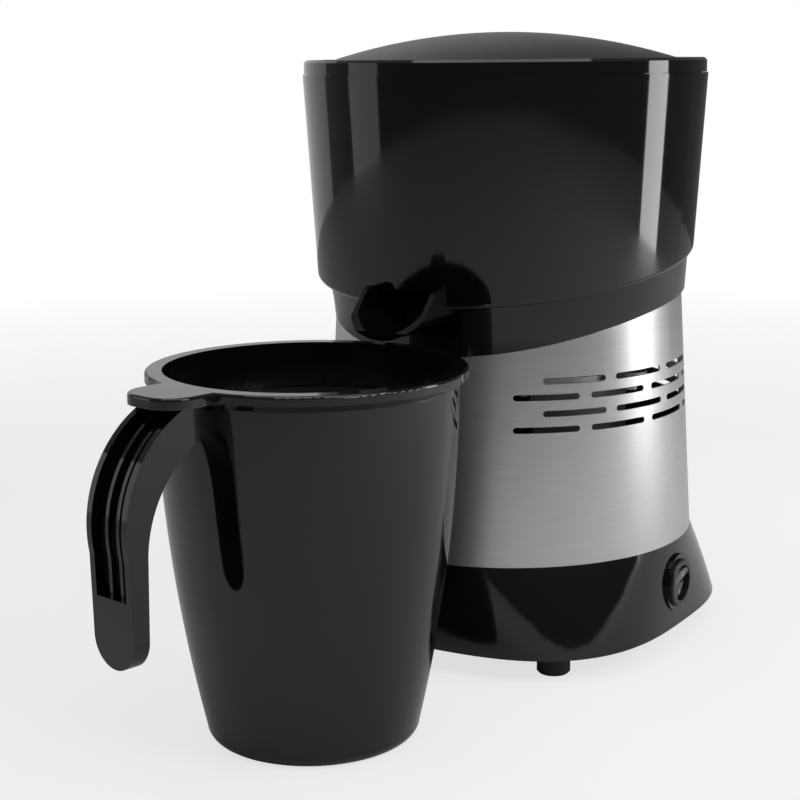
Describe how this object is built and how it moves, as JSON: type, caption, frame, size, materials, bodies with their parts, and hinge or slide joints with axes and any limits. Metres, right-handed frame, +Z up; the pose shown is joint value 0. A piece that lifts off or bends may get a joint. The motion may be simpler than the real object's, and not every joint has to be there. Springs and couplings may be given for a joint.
{
  "type": "electric citrus juicer",
  "caption": "Electric citrus juicer: brushed sleeve on a flared base, lidded bowl with reamer cone and strainer, open spout and a handled catching jug.",
  "frame": {"origin": "centre of the whole object's box, on the surface that the feet and the jug stand on", "axes": "+Z up, -Y towards the spout and the jug, +X towards the switch side"},
  "size_m": [0.192, 0.383, 0.2911],
  "materials": {
    "black_gloss": "gloss",
    "black_matte": "matte",
    "black_satin": "satin",
    "brushed_sleeve": "brushed",
    "mesh_steel": "satin",
    "zinc_steel": "satin",
    "bearing_steel": "ground",
    "lamination": "varnished",
    "winding": "enamelled copper",
    "cast_alloy": "as cast",
    "brass_terminal": "plain",
    "rubber_black": "matte",
    "white_plastic": "satin",
    "grey_plastic": "matte"
  },
  "bodies": {
    "housing": {"base_skirt": "black_gloss", "base_plate": "black_matte", "foot_screws": "zinc_steel", "steel_sleeve": "brushed_sleeve", "top_shroud": "black_gloss", "housing_screws": "zinc_steel", "stator_core": "lamination", "field_coils": "winding", "upper_bracket": "cast_alloy", "lower_bracket": "cast_alloy", "upper_bearing": "bearing_steel", "lower_bearing": "bearing_steel", "through_bolts": "zinc_steel", "through_nuts": "zinc_steel", "shaft_seal": "rubber_black", "motor_grommets": "rubber_black", "motor_screws": "zinc_steel", "switch_body": "black_satin", "switch_terminals": "brass_terminal", "cord_inlet": "rubber_black", "terminal_block": "white_plastic", "terminal_screws": "zinc_steel", "run_capacitor": "grey_plastic", "foot_1": "rubber_black", "foot_2": "rubber_black", "foot_3": "rubber_black", "foot_4": "rubber_black"},
    "rotor": {"rotor_core": "lamination", "rotor_cage": "cast_alloy", "motor_shaft": "bearing_steel", "cooling_fan": "white_plastic", "drive_hub": "white_plastic"},
    "bowl": {"bowl": "black_gloss", "bowl_bush": "white_plastic"},
    "spindle": {"spindle": "white_plastic"},
    "cone": {"cone": "black_satin"},
    "strainer": {"strainer": "black_satin"},
    "lid": {"lid_ring": "black_gloss", "lid_panel": "black_satin"},
    "jug": {"jug_body": "black_gloss", "jug_handle": "black_gloss"},
    "jug_strainer": {"jug_strainer_ring": "black_satin", "jug_strainer_mesh": "mesh_steel"},
    "rocker": {"switch_rocker": "black_gloss"}
  },
  "joints": [
    {"name": "motor_spin", "type": "hinge", "parent": "housing", "child": "rotor", "pos_m": [0, 0.08309, 0.107], "axis": [0, 0, 1], "continuous": true},
    {"name": "bowl_lift", "type": "slide", "parent": "housing", "child": "bowl", "axis": [0, 0, 1], "range_m": [0, 0.06]},
    {"name": "spindle_spin", "type": "hinge", "parent": "bowl", "child": "spindle", "pos_m": [0, 0.08309, 0.19], "axis": [0, 0, 1], "continuous": true},
    {"name": "cone_lift", "type": "slide", "parent": "spindle", "child": "cone", "axis": [0, 0, 1], "range_m": [0, 0.015]},
    {"name": "strainer_lift", "type": "slide", "parent": "bowl", "child": "strainer", "axis": [0, 0, 1], "range_m": [0, 0.004]},
    {"name": "lid_lift", "type": "slide", "parent": "bowl", "child": "lid", "axis": [0, 0, 1], "range_m": [0, 0.12]},
    {"name": "jug_slide", "type": "slide", "parent": "housing", "child": "jug", "axis": [0, -1, 0], "range_m": [0, 0.15]},
    {"name": "jug_strainer_lift", "type": "slide", "parent": "jug", "child": "jug_strainer", "axis": [0, 0, 1], "range_m": [0, 0.018]},
    {"name": "rocker_tilt", "type": "hinge", "parent": "housing", "child": "rocker", "pos_m": [0.0914, 0.08909, 0.0318], "axis": [0, 1, 0], "range_deg": [-18, 0]}
  ],
  "couplings": [
    {"joint": "spindle_spin", "follows": "motor_spin", "ratio": 1}
  ]
}
